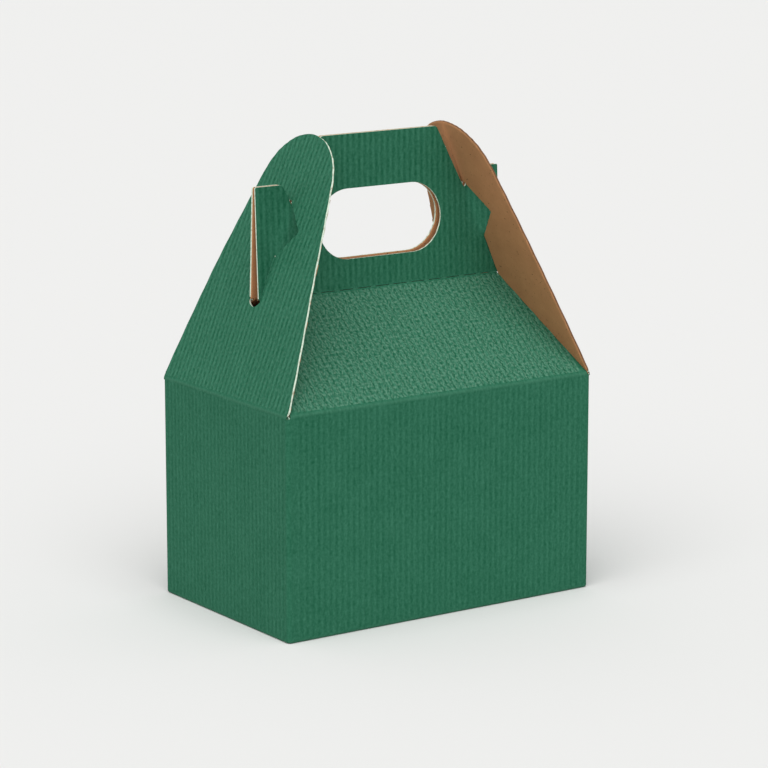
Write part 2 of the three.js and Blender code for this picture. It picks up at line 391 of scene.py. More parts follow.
class FoldedSheet:
    """Half a panel of board, which is cut flat, divided, ribbed and folded.

    The flat half lies at positive X, with its ribs along Y and its outside up.
    """

    def __init__(self, outline: Sequence[Corner], board: Board, hand: int = 1) -> None:
        """Cuts the half sheet out, with a narrow band along its edge.

        Args:
            outline: Its corners, counter-clockwise.
            board: The board that it is cut from.
            hand: 1, or -1 for the other half, which is the mirror image.
        """
        self.bm = bmesh.new()
        verts = [self.bm.verts.new((c.across, c.along, 0)) for c in outline]
        self.bm.faces.new(verts)
        self.width = max(c.across for c in outline)
        self.hand = hand
        for vert, corner in zip(verts, outline):
            if corner.round > 0:
                bmesh.ops.bevel(
                    self.bm, geom=[vert], offset=corner.round, offset_type="OFFSET",
                    segments=corner.steps, profile=0.5, affect="VERTICES", material=-1,
                    clamp_overlap=False,
                )
        bmesh.ops.remove_doubles(self.bm, verts=self.bm.verts, dist=CORNER_MERGE)
        self.bm.faces.ensure_lookup_table()
        middle = self.bm.faces[0]
        for width in (board.edge_width, board.edge_blend):
            bmesh.ops.inset_individual(
                self.bm, faces=[middle], thickness=width, use_even_offset=True,
            )

    def divide(self, places: Iterable[float], way: Vector) -> None:
        """Divides the sheet by parallel cuts, each through what lies beyond the last.

        Args:
            places: Where the cuts are, in order.
            way: The direction that the places are measured in.
        """
        rest = list(self.bm.faces)
        for place in places:
            geometry = {part for face in rest for part in (face, *face.edges, *face.verts)}
            cut = bmesh.ops.bisect_plane(
                self.bm, geom=list(geometry), dist=CUT_REACH, plane_co=way * place, plane_no=way,
            )
            rest = [
                part for part in cut["geom"]
                if isinstance(part, bmesh.types.BMFace)
                and part.calc_center_bounds().dot(way) > place
            ]

    def shape(self, ribs: RibField, folding: Folding) -> bmesh.types.BMesh:
        """Divides, ribs and folds the sheet.

        Args:
            ribs: Its ribs.
            folding: Where its points go.

        Returns:
            The folded half.
        """
        column = ribs.board.column
        count = int(self.width / column - TINY)
        self.divide([column * (i + 1) for i in range(count)], Vector((1, 0, 0)))
        along = [vert.co.y for vert in self.bm.verts]
        self.divide(ribs.rows(min(along), max(along)), Vector((0, 1, 0)))
        if self.hand < 0:
            bmesh.ops.scale(self.bm, vec=(-1, 1, 1), verts=self.bm.verts)
        self.bm.normal_update()
        inverted = [face for face in self.bm.faces if face.normal.z < 0]
        bmesh.ops.reverse_faces(self.bm, faces=inverted)
        self._mark(ribs)
        lift = ribs.board.thickness / 2
        for vert in self.bm.verts:
            u, v = vert.co.xy
            vert.co = folding.place(u, v, lift + ribs.height(u, v))
        return self.bm

    def _mark(self, ribs: RibField) -> None:
        """Writes each point's place on the flat sheet, ribs, wear (which also sets painted shade) and
        thickness to the mesh.

        Args:
            ribs: The sheet's ribs.
        """
        flat = self.bm.loops.layers.uv.new(FLAT_MAP)
        strength = self.bm.verts.layers.float.new(RIB_LAYER)
        wear = self.bm.verts.layers.float.new(FOLD_WEAR_AND_SLIT_SHADE_LAYER)
        share = self.bm.verts.layers.deform.verify()
        for vert in self.bm.verts:
            vert[share][0] = 1 + ribs.height(vert.co.x, vert.co.y) / ribs.board.thickness
            vert[strength] = ribs.strength(vert.co.x, vert.co.y)
            vert[wear] = ribs.wear(vert.co.y)
            for loop in vert.link_loops:
                loop[flat].uv = vert.co.xy


@dataclass(frozen=True)
class Grain:
    """A pattern of noise: the size of its spots, and how many finer layers it has."""

    size: float
    detail: float


class Shader:
    """A material's node tree, with short ways to add nodes and join them."""

    def __init__(self, name: str) -> None:
        """Starts a material that holds a Principled shader.

        Args:
            name: The material's name.
        """
        self.material = bpy.data.materials.new(name)
        self.material.use_nodes = True
        self.tree = self.material.node_tree
        self.principled = self.tree.nodes["Principled BSDF"]

    def add(self, kind: str, **settings: object) -> bpy.types.Node:
        """Adds a node.

        Args:
            kind: Its type, without the word that all of them start with.
            **settings: Properties to set on it.

        Returns:
            The node.
        """
        node = self.tree.nodes.new("ShaderNode" + kind)
        for name, value in settings.items():
            setattr(node, name, value)
        return node

    def feed(self, target: bpy.types.NodeSocket, value: object) -> None:
        """Joins a socket to another, or sets its value.

        Args:
            target: The socket.
            value: The other socket, or the value.
        """
        if isinstance(value, bpy.types.NodeSocket):
            self.tree.links.new(value, target)
        else:
            target.default_value = value

    def set(self, name: str, value: object) -> None:
        """Feeds one of the Principled shader's sockets."""
        self.feed(self.principled.inputs[name], value)

    def math(self, operation: str, *values: object) -> bpy.types.NodeSocket:
        """Adds a Math node.

        Args:
            operation: What it works out.
            *values: The numbers or sockets that it takes.

        Returns:
            Its result.
        """
        node = self.add("Math", operation=operation)
        for socket, value in zip(node.inputs, values):
            self.feed(socket, value)
        return node.outputs["Value"]

    def attribute(self, name: str) -> bpy.types.NodeSocket:
        """Reads a number that the mesh holds at its points."""
        return self.add("Attribute", attribute_name=name).outputs["Fac"]

    def flat(self, stretch: tuple[float, float, float] = (1, 1, 1)) -> bpy.types.NodeSocket:
        """Reads the place on the flat sheet.

        Args:
            stretch: How far it is stretched along each axis.

        Returns:
            The coordinates.
        """
        mapping = self.add("Mapping")
        self.feed(mapping.inputs["Scale"], stretch)
        self.feed(mapping.inputs["Vector"], self.add("UVMap", uv_map=FLAT_MAP).outputs["UV"])
        return mapping.outputs["Vector"]

    def place(self) -> bpy.types.NodeSocket:
        """Reads the place in the frame."""
        return self.add("TexCoord").outputs["Object"]

    def noise(self, where: bpy.types.NodeSocket, grain: Grain) -> bpy.types.NodeSocket:
        """Adds a noise pattern.

        Args:
            where: The coordinates that it reads.
            grain: Its spots.

        Returns:
            Its value, which swings about the middle tone.
        """
        node = self.add("TexNoise")
        self.feed(node.inputs["Vector"], where)
        self.feed(node.inputs["Scale"], 1 / grain.size)
        self.feed(node.inputs["Detail"], grain.detail)
        return node.outputs["Fac"]

    def ramp(self, value: bpy.types.NodeSocket, low: float, high: float) -> bpy.types.NodeSocket:
        """Spreads a value between two limits over 0 to 1.

        Args:
            value: The value.
            low: What counts as 0.
            high: What counts as 1.

        Returns:
            The share, which stays at 0 or 1 beyond the limits.
        """
        node = self.add("MapRange", clamp=True)
        self.feed(node.inputs["Value"], value)
        self.feed(node.inputs["From Min"], low)
        self.feed(node.inputs["From Max"], high)
        return node.outputs["Result"]

    def mix(self, share: object, first: object, second: object) -> bpy.types.NodeSocket:
        """Mixes two colours.

        Args:
            share: How much of the second colour shows.
            first: A colour or its socket.
            second: A colour or its socket.

        Returns:
            The mixed colour.
        """
        node = self.add("Mix", data_type="RGBA")
        self.feed(node.inputs["Factor"], share)
        for socket, value in zip(node.inputs[MIX_COLOURS], (first, second)):
            self.feed(socket, value if isinstance(value, bpy.types.NodeSocket) else (*value, 1.0))
        return node.outputs[MIX_RESULT]

    def sum(self, base: object, *parts: tuple[bpy.types.NodeSocket, float]) -> bpy.types.NodeSocket:
        """Adds patterns to a base value, by how far they are off the middle tone.

        Args:
            base: The value that they are added to.
            *parts: Each pattern, with its weight.

        Returns:
            The sum.
        """
        total = base
        for pattern, weight in parts:
            swing = self.math("MULTIPLY", self.math("SUBTRACT", pattern, MIDDLE_TONE), weight)
            total = self.math("ADD", total, swing)
        return total

    def set_gloss(self, roughness: float, gloss: float) -> None:
        """Sets how rough the surface is, and how strongly it mirrors."""
        self.set("Roughness", roughness)
        self.set("Specular IOR Level", gloss)

    def bump(self, height: bpy.types.NodeSocket, depth: float) -> None:
        """Gives the surface a fine relief.

        Args:
            height: The pattern of heights, from 0 to 1.
            depth: What 1 stands for, in metres.
        """
        node = self.add("Bump")
        self.feed(node.inputs["Strength"], 1.0)
        self.feed(node.inputs["Distance"], depth)
        self.feed(node.inputs["Height"], height)
        self.set("Normal", node.outputs["Normal"])


@dataclass(frozen=True)
class GreenPrint:
    """Green ink on the outer liner: mottled by the fibres, worn on the folds, and lighter on the
    ribs, partly as painted light.

    Attributes:
        deep: Colour in the valleys between the ribs, partly the print and partly painted shade.
        bright: Colour along the crests of the ribs, partly the print and partly painted light.
        rubbed_and_sheen: Colour where bare fibre shows through the ink, also used for the ribs'
            painted sheen.
        patch: Patches in which the ribs show, between its values patch_low and patch_high.
        fleck: Flecks on the ribs, partly worn print and partly painted sheen, between its values
            fleck_low and fleck_high.
        fleck_from: How strong a panel's ribs are before they have flecks, which keeps the painted
            sheen mostly to the roofs.
        fleck_share: How far a fleck comes near to the rubbed colour, which sets how strong the
            painted sheen is.
        rubbed_share: The same along a fold's ridge.
    """

    deep: Colour = (0.006, 0.095, 0.045)
    bright: Colour = (0.041, 0.185, 0.111)
    rubbed_and_sheen: Colour = (0.14, 0.30, 0.21)
    rib_weight: float = 1.05
    patch: Grain = Grain(5 * MM, 2)
    patch_low: float = 0.3
    patch_high: float = 0.6
    blotch: Grain = Grain(14 * MM, 3)
    blotch_weight: float = 0.35
    fibre: Grain = Grain(1.2 * MM, 3)
    fibre_weight: float = 0.9
    fibre_stretch: float = 0.35
    mottle: Grain = Grain(1.4 * MM, 2)
    mottle_weight: float = 1.0
    fleck: Grain = Grain(1.0 * MM, 2)
    fleck_low: float = 0.43
    fleck_high: float = 0.75
    fleck_from: float = 0.7
    fleck_share: float = 0.85
    fleck_stretch: float = 0.6
    rubbed_share: float = 0.12
    roughness: float = 0.72
    gloss: float = 0.12
    grain_depth: float = 0.05 * MM

    def material(self, board: Board) -> bpy.types.Material:
        """Makes the material.

        Args:
            board: The board that it covers.

        Returns:
            The material.
        """
        shader = Shader("green_print")
        flat = shader.flat()
        strength = shader.attribute(RIB_LAYER)
        across = shader.add("SeparateXYZ")
        shader.feed(across.inputs["Vector"], flat)
        # Crests lighter and valleys darker: partly print, partly painted light and shade, scaled by
        # each panel's rib strength.
        phase = shader.math("MULTIPLY", across.outputs["X"], math.tau / board.rib_pitch)
        crest = shader.math("COSINE", phase)
        patch = shader.ramp(shader.noise(flat, self.patch), self.patch_low, self.patch_high)
        rib = shader.math("MULTIPLY", shader.math("MULTIPLY", crest, strength), patch)
        rib = shader.math("MULTIPLY_ADD", rib, MIDDLE_TONE, MIDDLE_TONE)
        mottle = shader.noise(flat, self.mottle)
        blotch = shader.noise(shader.place(), self.blotch)
        fibre = shader.noise(shader.flat((1, self.fibre_stretch, 1)), self.fibre)
        tone = shader.sum(
            MIDDLE_TONE, (rib, self.rib_weight), (blotch, self.blotch_weight),
            (fibre, self.fibre_weight), (mottle, self.mottle_weight),
        )
        colour = shader.mix(tone, self.deep, self.bright)
        # Painted sheen, partly worn print: light flecks on the strongest ribs, which lighten the
        # roofs.
        grain = shader.flat((1, self.fleck_stretch, 1))
        flecks = shader.ramp(shader.noise(grain, self.fleck), self.fleck_low, self.fleck_high)
        pressed = shader.ramp(strength, self.fleck_from, 1.0)
        flecks = shader.math("MULTIPLY", shader.math("MULTIPLY", flecks, pressed), self.fleck_share)
        # The folds' wear and the ribs' painted sheen both mix towards the colour of bare fibre.
        rubbed_and_sheen = shader.math("MULTIPLY", shader.attribute(FOLD_WEAR_AND_SLIT_SHADE_LAYER), self.rubbed_share)
        rubbed_and_sheen = shader.math("MAXIMUM", rubbed_and_sheen, flecks)
        shader.set("Base Color", shader.mix(rubbed_and_sheen, colour, self.rubbed_and_sheen))
        shader.set_gloss(self.roughness, self.gloss)
        shader.bump(fibre, self.grain_depth)
        return shader.material


@dataclass(frozen=True)
class KraftLiner:
    """The plain brown inner liner, with long fibres and a few dark specks.

    Attributes:
        speck: Colour of the specks.
        specks: Where they are, between its values speck_low and speck_high.
    """

    dark: Colour = (0.385, 0.178, 0.077)
    light: Colour = (0.60, 0.298, 0.138)
    speck: Colour = (0.20, 0.100, 0.048)
    blotch: Grain = Grain(9 * MM, 4)
    blotch_weight: float = 0.6
    fibre: Grain = Grain(0.8 * MM, 3)
    fibre_weight: float = 0.4
    fibre_stretch: float = 0.3
    specks: Grain = Grain(1.6 * MM, 1)
    speck_low: float = 0.70
    speck_high: float = 0.78
    roughness: float = 0.88
    gloss: float = 0.2
    grain_depth: float = 0.06 * MM

    def material(self) -> bpy.types.Material:
        """Makes the material.

        Returns:
            The material.
        """
        shader = Shader("kraft_liner")
        place = shader.place()
        blotch = shader.noise(place, self.blotch)
        fibre = shader.noise(shader.flat((1, self.fibre_stretch, 1)), self.fibre)
        tone = shader.sum(MIDDLE_TONE, (blotch, self.blotch_weight), (fibre, self.fibre_weight))
        colour = shader.mix(tone, self.dark, self.light)
        specks = shader.ramp(shader.noise(place, self.specks), self.speck_low, self.speck_high)
        shader.set("Base Color", shader.mix(specks, colour, self.speck))
        shader.set_gloss(self.roughness, self.gloss)
        shader.bump(fibre, self.grain_depth)
        return shader.material


@dataclass(frozen=True)
class CutEdge:
    """A die-cut edge: crushed fibre, with painted shade inside the slits along a fold.

    Attributes:
        name: The material's name.
        pale: Colour of most of the edge.
        shaded: Colour of its patches, between the fibre's values shaded_low and shaded_high.
        slit_shade: Colour of the painted shade inside a slit.
        slit_shade_full_at: Wear at which the edge is wholly in that painted shade.
    """

    name: str = "cut_edge"
    pale: Colour = (0.70, 0.82, 0.68)
    shaded: Colour = (0.40, 0.42, 0.30)
    slit_shade: Colour = (0.020, 0.060, 0.035)
    fibre: Grain = Grain(1.4 * MM, 4)
    shaded_low: float = 0.48
    shaded_high: float = 0.72
    slit_shade_full_at: float = 0.15
    roughness: float = 0.9
    gloss: float = 0.15
    grain_depth: float = 0.1 * MM

    def material(self) -> bpy.types.Material:
        """Makes the material.

        Returns:
            The material.
        """
        shader = Shader(self.name)
        fibre = shader.noise(shader.place(), self.fibre)
        tone = shader.ramp(fibre, self.shaded_low, self.shaded_high)
        colour = shader.mix(tone, self.pale, self.shaded)
        # Painted shade: the edge is darkened near a fold's ridge, mainly inside the slits.
        depth = shader.ramp(shader.attribute(FOLD_WEAR_AND_SLIT_SHADE_LAYER), 0, self.slit_shade_full_at)
        shader.set("Base Color", shader.mix(depth, colour, self.slit_shade))
        shader.set_gloss(self.roughness, self.gloss)
        shader.bump(fibre, self.grain_depth)
        return shader.material


# The cut edge of the right flap: brown, darkened with painted shade.
BROWN_PAINTED_SHADE_CUT_EDGE = CutEdge("brown_cut_edge", pale=(0.20, 0.100, 0.050), shaded=(0.12, 0.060, 0.032))


@dataclass(frozen=True)
class Finishes:
    """The materials of the board's surfaces."""

    board: Board
    materials: dict[Surface, bpy.types.Material] = field(default_factory=dict)

    def prepare(self) -> None:
        """Makes the materials."""
        self.materials[Surface.PRINT] = GreenPrint().material(self.board)
        self.materials[Surface.LINER] = KraftLiner().material()
        self.materials[Surface.EDGE] = CutEdge().material()
        self.materials[Surface.BROWN_PAINTED_SHADE_EDGE] = BROWN_PAINTED_SHADE_CUT_EDGE.material()

    def make_board(self, name: str, halves: Sequence[bmesh.types.BMesh],
                   rim: Surface = Surface.EDGE) -> bpy.types.Object:
        """Joins folded sheets into one piece and gives it the board's thickness.

        Args:
            name: The piece's name.
            halves: The folded sheets, which are used up.
            rim: The surface that its cut edges show.

        Returns:
            The piece.
        """
        whole = bmesh.new()
        for half in halves:
            part = to_mesh(half, name)
            whole.from_mesh(part)
            bpy.data.meshes.remove(part)
        bmesh.ops.remove_doubles(whole, verts=whole.verts, dist=SEAM_MERGE)
        layer = whole.verts.layers.deform.verify()
        for vert in whole.verts:
            if vert.is_boundary:
                vert[layer][0] = self.board.crushed_share
        for face in whole.faces:
            face.smooth = True
        for edge in whole.edges:
            edge.smooth = not edge.is_boundary
        piece = put_in_scene(name, to_mesh(whole, name))
        piece.vertex_groups.new(name=THICKNESS_GROUP)
        for surface in Surface:
            piece.data.materials.append(self.materials[surface])
        wall = piece.modifiers.new("thickness", "SOLIDIFY")
        wall.thickness = self.board.thickness
        wall.offset = -1
        wall.vertex_group = THICKNESS_GROUP
        wall.use_quality_normals = True
        wall.material_offset = Surface.LINER.value
        wall.material_offset_rim = rim.value
        return piece


@dataclass(frozen=True)
class BoxSizes:
    """The box's driving sizes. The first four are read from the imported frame.

    Attributes:
        crease_rise: Height of the creases above the walls.
        gap_at_crease: Width of the gap between the handle's panels, at the creases.
        gap_at_top: The same where they lie closest, from pinch_rise upwards.
        pinch_rise: Height above the creases where they come closest.
        flap_lean: Angle between the end flaps and upright.
        flap_clearance: Gap between the roofs and the end flaps.
        strip_below: How far the strip along an end flap's fold reaches down the wall.
        strip_above: How far it reaches up the flap.
        strip_inset: How far its ends stand in from the box's sides.
    """

    half_length: float
    half_depth: float
    wall_height: float
    handle_top: float
    crease_rise: float = 51.5 * MM
    gap_at_crease: float = 6.4 * MM
    gap_at_top: float = 0.6 * MM
    pinch_rise: float = 61.6 * MM
    flap_lean: float = math.radians(21.9)
    flap_clearance: float = 0.3 * MM
    strip_below: float = 1.2 * MM
    strip_above: float = 1.8 * MM
    strip_inset: float = 0.7 * MM

    @classmethod
    def from_frame(cls) -> "BoxSizes":
        """Reads the box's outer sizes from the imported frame.

        Returns:
            The box's sizes.
        """
        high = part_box("carton")[1]
        fold = next(j for j in frame["joints"] if j["child"] == "right_flap")
        return cls(high.x, high.y, fold["pos_m"][2], high.z)

    @property
    def crease_height(self) -> float:
        """The height of the creases below the handle."""
        return self.wall_height + self.crease_rise

    def flap_outer(self, height: float) -> float:
        """Gives an end flap's outer face at a height, from the middle of the box."""
        return self.half_length - (height - self.wall_height) * math.tan(self.flap_lean)

    def flap_inner(self, height: float, board: Board) -> float:
        """Gives an end flap's inner face at a height, from the middle of the box."""
        return self.flap_outer(height) - board.thickness / math.cos(self.flap_lean)

    def panel_middle(self, height: float, board: Board) -> float:
        """Finds the middle of a handle panel at a height.

        Args:
            height: The height above the floor.
            board: The board that the panel is cut from.

        Returns:
            Its distance from the middle of the box.
        """
        share = min(1.0, (height - self.crease_height) / self.pinch_rise)
        gap = self.gap_at_crease + (self.gap_at_top - self.gap_at_crease) * share
        return (board.thickness + gap) / 2


@dataclass(frozen=True)
class Carton:
    """Floor, walls, roofs and handle of the box, folded from one sheet.

    Heights on the handle count from the creases. The hooks are the notches in the tabs that the
    end flaps drop into. A tongue and a dust flap are the floor flaps of the back and of an end.

    Attributes:
        perforation_columns: Columns of faces in one slit of a crease.
        perforation_bridge: Columns of faces between two slits.
        perforation_rows: Rows of faces in half a slit.
        perforation_end: How far from the middle the slits go.
        layer_gap: Gap between two layers of board.
        glue_free_edge: How far from the corner the back wall's cut edge is, over the glue flap.
        plain_corner: Width of the strip beside an upright corner that has no ribs.
        tuft_inset: How far in from a corner its frayed fibre is, in board thicknesses.
        nick_drop: How far below the handle's top its edges have a nick.
        wall_ribs: Strength of the ribs on the walls, in relief and in their painted light and shade.
        roof_ribs: The same on the roofs, whose strong ribs also carry the painted sheen.
        handle_ribs: The same on the handle's panels.
    """

    sizes: BoxSizes
    board: Board
    hole_half: float = 41 * MM
    hole_height: float = 39 * MM
    hole_middle: float = 36.6 * MM
    hole_steps: int = 14
    tab_height: float = 61.6 * MM
    tab_overhang: float = 0.4 * MM
    tab_round: float = 0.8 * MM
    hook_depth: float = 10.8 * MM
    hook_mouth_gap: float = 7.8 * MM
    hook_mouth_round: float = 1.8 * MM
    hook_root_gap: float = 1.5 * MM
    hook_root_width: float = 1.2 * MM
    handle_side_gap: float = 5.7 * MM
    handle_round: float = 1.4 * MM
    pinch_radius: float = 150 * MM
    perforation_columns: int = 14
    perforation_bridge: int = 5
    perforation_rows: int = 2
    perforation_end: float = 74 * MM
    floor_edge: float = 14 * MM
    floor_inset: float = 8 * MM
    floor_taper: float = 5 * MM
    floor_round: float = 4 * MM
    tongue_half: float = 50 * MM
    tongue_round: float = 6 * MM
    tongue_foot_round: float = 2 * MM
    tongue_reach: float = 34 * MM
    tongue_ramp: float = 5 * MM
    layer_gap: float = 0.15 * MM
    dust_half: float = 55 * MM
    dust_reach: float = 46 * MM
    dust_ramp: float = 6 * MM
    dust_round: float = 8 * MM
    glue_width: float = 27 * MM
    glue_round: float = 2 * MM
    glue_slant: float = 6 * MM
    glue_jog: float = 3.6 * MM
    glue_ramp: float = 1.8 * MM
    glue_free_edge: float = 5.9 * MM
    plain_corner: float = 5.5 * MM
    tuft_inset: float = 0.8
    nick_drop: float = 12 * MM
    wall_ribs: float = 0.4
    roof_ribs: float = 1.0
    handle_ribs: float = 0.6

    def section(self, face: Face) -> BentLine:
        """Lays out the middle of the board across a long side, from its floor flap to its handle.

        Args:
            face: Front or back. The back's floor flap ends in a tongue above the front's.

        Returns:
            The line, with its distances counted from the fold below the wall.
        """
        sizes, board = self.sizes, self.board
        half = board.thickness / 2
        wall = sizes.half_depth - half
        upper = half + board.thickness + self.layer_gap
        if face is Face.FRONT:
            floor, radii = [(-self.floor_edge, half)], []
        else:
            ramp_top = self.floor_edge + self.layer_gap + half
            floor = [
                (ramp_top - self.tongue_reach, upper),
                (ramp_top, upper),
                (ramp_top + self.tongue_ramp, half),
            ]
            radii = [board.foot_radius, board.foot_radius]
        length = path_length(floor) + wall - floor[-1][0]
        pinch = sizes.crease_height + sizes.pinch_rise
        upright = [
            (wall, half),
            (wall, sizes.wall_height),
            (sizes.panel_middle(sizes.crease_height, board), sizes.crease_height),
            (sizes.panel_middle(pinch, board), pinch),
            (sizes.panel_middle(sizes.handle_top, board), sizes.handle_top),
        ]
        radii += [board.foot_radius, board.fold_radius, board.fold_radius, self.pinch_radius]
        return BentLine(floor + upright, radii, -length)

    def long_outline(self, section: BentLine, free_edge: bool, tongue: bool) -> list[Corner]:
        """Lists the corners of half a long side, with its half of the hand hole.

        Args:
            section: The line that the side is folded to.
            free_edge: Whether the wall ends in a cut edge over the glue flap.
            tongue: Whether the floor flap ends in a tongue.

        Returns:
            The corners.
        """
        sizes, board = self.sizes, self.board
        low = section.places[0]
        wall_top, crease, _, top = section.places[-4:]
        stretch = (top - crease) / (sizes.handle_top - sizes.crease_height)
        upright = sizes.half_length - board.corner_radius - board.thickness / 2
        wall_half = sizes.half_length - self.glue_free_edge if free_edge else upright
        floor_half = sizes.half_length - self.floor_inset
        inner = sizes.flap_inner(sizes.crease_height, board) - sizes.flap_clearance
        foot = sizes.flap_inner(sizes.wall_height, board) - sizes.flap_clearance
        slit = wall_top + (crease - wall_top) * (foot - upright) / (foot - inner)
        tab_half = sizes.flap_outer(sizes.crease_height) + self.tab_overhang
        tab_top = sizes.crease_height + self.tab_height
        root = tab_top - self.hook_depth
        root_inner = sizes.flap_inner(root, board) - self.hook_root_gap
        mouth = sizes.flap_outer(tab_top) + self.hook_mouth_gap
        handle_half = sizes.flap_inner(sizes.handle_top, board) - self.handle_side_gap

        def up(height: float) -> float:
            """Gives the distance along the sheet at a height on the handle."""
            return crease + (height - sizes.crease_height) * stretch

        fold_end = section.bends[-4].reach
        if tongue:
            step = section.places[2] + self.floor_taper
            floor = [
                Corner(0, low),
                Corner(self.tongue_half, low, self.tongue_round),
                Corner(self.tongue_half, step, self.tongue_foot_round),
                Corner(floor_half, step + self.floor_taper, self.tongue_foot_round),
            ]
        else:
            floor = [Corner(0, low), Corner(floor_half, low, self.floor_round)]
        wall = [
            Corner(floor_half, -self.floor_taper),
            Corner(wall_half, -fold_end),
            Corner(wall_half, wall_top - fold_end),
            Corner(upright, wall_top),
        ]
        hole_low = up(sizes.crease_height + self.hole_middle - self.hole_height / 2)
        hole_high = up(sizes.crease_height + self.hole_middle + self.hole_height / 2)
        hole_round = self.hole_height / 2
        return floor + wall + [
            Corner(upright, slit),
            Corner(inner, crease),
            Corner(tab_half, crease),
            Corner(tab_half, up(tab_top), self.tab_round),
            Corner(mouth, up(tab_top), self.hook_mouth_round),
            Corner(root_inner + self.hook_root_width, up(root)),
            Corner(root_inner, up(root)),
            Corner(handle_half, top, self.handle_round),
            Corner(0, top),
            Corner(0, hole_high),
            Corner(self.hole_half, hole_high, hole_round, self.hole_steps),
            Corner(self.hole_half, hole_low, hole_round, self.hole_steps),
            Corner(0, hole_low),
        ]

    def long_side(self, face: Face) -> list[bmesh.types.BMesh]:
        """Makes the two halves of a long side.

        Args:
            face: Front or back.

        Returns:
            The folded halves.
        """
        section = self.section(face)
        reach = self.sizes.half_length
        plan = BentLine([(-reach, 0), (reach, 0)], [], -reach)
        wall_top, crease, pinch, top = section.places[-4:]
        spread = section.bends[-1].reach
        ribs = RibField(
            self.board, section.bends[:-1],
            [(wall_top, self.wall_ribs), (crease, self.roof_ribs), (top, self.handle_ribs)],
            reach - self.plain_corner, [pinch - spread, pinch, pinch + spread],
        )
        halves = []
        for hand in (1, -1):
            glued = face is Face.BACK and hand == 1
            outline = self.long_outline(section, glued, face is Face.BACK)
            half = FoldedSheet(outline, self.board, hand).shape(
                ribs, Folding(plan, section, face.value),
            )
            self._perforate(half, section.bends[-2])
            halves.append(half)
        return halves

    def _perforate(self, half: bmesh.types.BMesh, crease: Bend) -> None:
        """Opens the row of short slits that lets the crease fold.

        Args:
            half: The folded half of a long side.
            crease: The bend at the crease.
        """
        flat = half.loops.layers.uv[FLAT_MAP]
        slit = self.board.column * self.perforation_columns
        pitch = slit + self.board.column * self.perforation_bridge
        row = self.perforation_rows * crease.reach / self.board.bend_steps
        opened = []
        for face in half.faces:
            spots = [loop[flat].uv for loop in face.loops]
            across = sum(abs(spot.x) for spot in spots) / len(spots)
            along = sum(spot.y for spot in spots) / len(spots) - crease.place
            phase = (across + slit / 2) % pitch
            if abs(along) < row and phase < slit and across < self.perforation_end:
                opened.append(face)
        bmesh.ops.delete(half, geom=opened, context="FACES")

    def end_section(self) -> BentLine:
        """Lays out the middle of the board from an end's dust flap to the top of its wall.

        Returns:
            The line, with its distances counted from the fold below the wall.
        """
        board = self.board
        half = board.thickness / 2
        upper = half + board.thickness + self.layer_gap
        turn_in = 2 * board.foot_radius
        line = [
            (-self.dust_reach, upper),
            (-turn_in - self.dust_ramp, upper),
            (-turn_in, half),
            (0, half),
            (0, self.sizes.wall_height),
        ]
        return BentLine(line, [board.foot_radius] * 3, -path_length(line[:4]))

    def end_wall(self, side: Side) -> list[bmesh.types.BMesh]:
        """Makes the two halves of an end wall, with its corners and its floor flap.

        Args:
            side: Which end. The left one carries the glue flap, behind the back wall.

        Returns:
            The folded halves.
        """
        sizes, board = self.sizes, self.board
        half = board.thickness / 2
        x, y = sizes.half_length - half, sizes.half_depth - half
        corner = board.corner_radius
        section = self.end_section()
        top = sizes.wall_height - half - sizes.strip_below
        ear = sizes.wall_height - half - board.fade_start
        strip_half = sizes.half_depth - sizes.strip_inset
        ribs = RibField(
            board, [*section.bends, Bend(sizes.wall_height - half, 0, Vector((0, 0)), 0, 0, 0)],
            [(sizes.wall_height, self.wall_ribs)], sizes.half_depth - corner - board.thickness,
        )
        floor = [
            Corner(0, section.places[0]),
            Corner(self.dust_half, section.places[0], self.dust_round),
            Corner(y - corner - self.dust_ramp, section.places[2]),
            Corner(y - corner, -section.bends[-1].reach),
            Corner(y - corner, 0),
        ]
        head = [Corner(strip_half, ear), Corner(strip_half, top), Corner(0, top)]
        plain = floor + [Corner(y + corner, 0), Corner(y + corner, ear)] + head
        plan = BentLine([(x - corner, -y), (x, -y), (x, y), (x - corner, y)], [corner] * 2,
                        -y - corner)
        folding = Folding(plan, section, side.value)
        halves = [FoldedSheet(plain, board).shape(ribs, folding)]
        other = plain
        if side is Side.LEFT:
            behind = y - board.thickness - self.layer_gap
            line = [
                (x - self.glue_width, -behind),
                (x - self.glue_jog - self.glue_ramp, -behind),
                (x - self.glue_jog, -y),
                (x, -y),
                (x, y),
            ]
            width = y + path_length(line[:4])
            other = floor + [
                Corner(y + corner, 0),
                Corner(width, self.glue_slant, self.glue_round),
                Corner(width, ear - self.glue_slant, self.glue_round),
                Corner(y + corner, ear),
            ] + head
            plan = BentLine(line, [board.foot_radius, board.foot_radius, corner], -width)
            folding = Folding(plan, section, side.value)
        halves.append(FoldedSheet(other, board, -1).shape(ribs, folding))
        return halves

    def tufts(self) -> list[Vector]:
        """Lists where the slits between the roofs and the end flaps end in frayed fibre.

        Returns:
            The four corners below the flaps' folds.
        """
        sizes, inset = self.sizes, self.board.thickness * self.tuft_inset
        return [
            Vector((x * (sizes.half_length - inset), y * (sizes.half_depth - inset / 2),
                    sizes.wall_height))
            for x in (-1, 1) for y in (-1, 1)
        ]

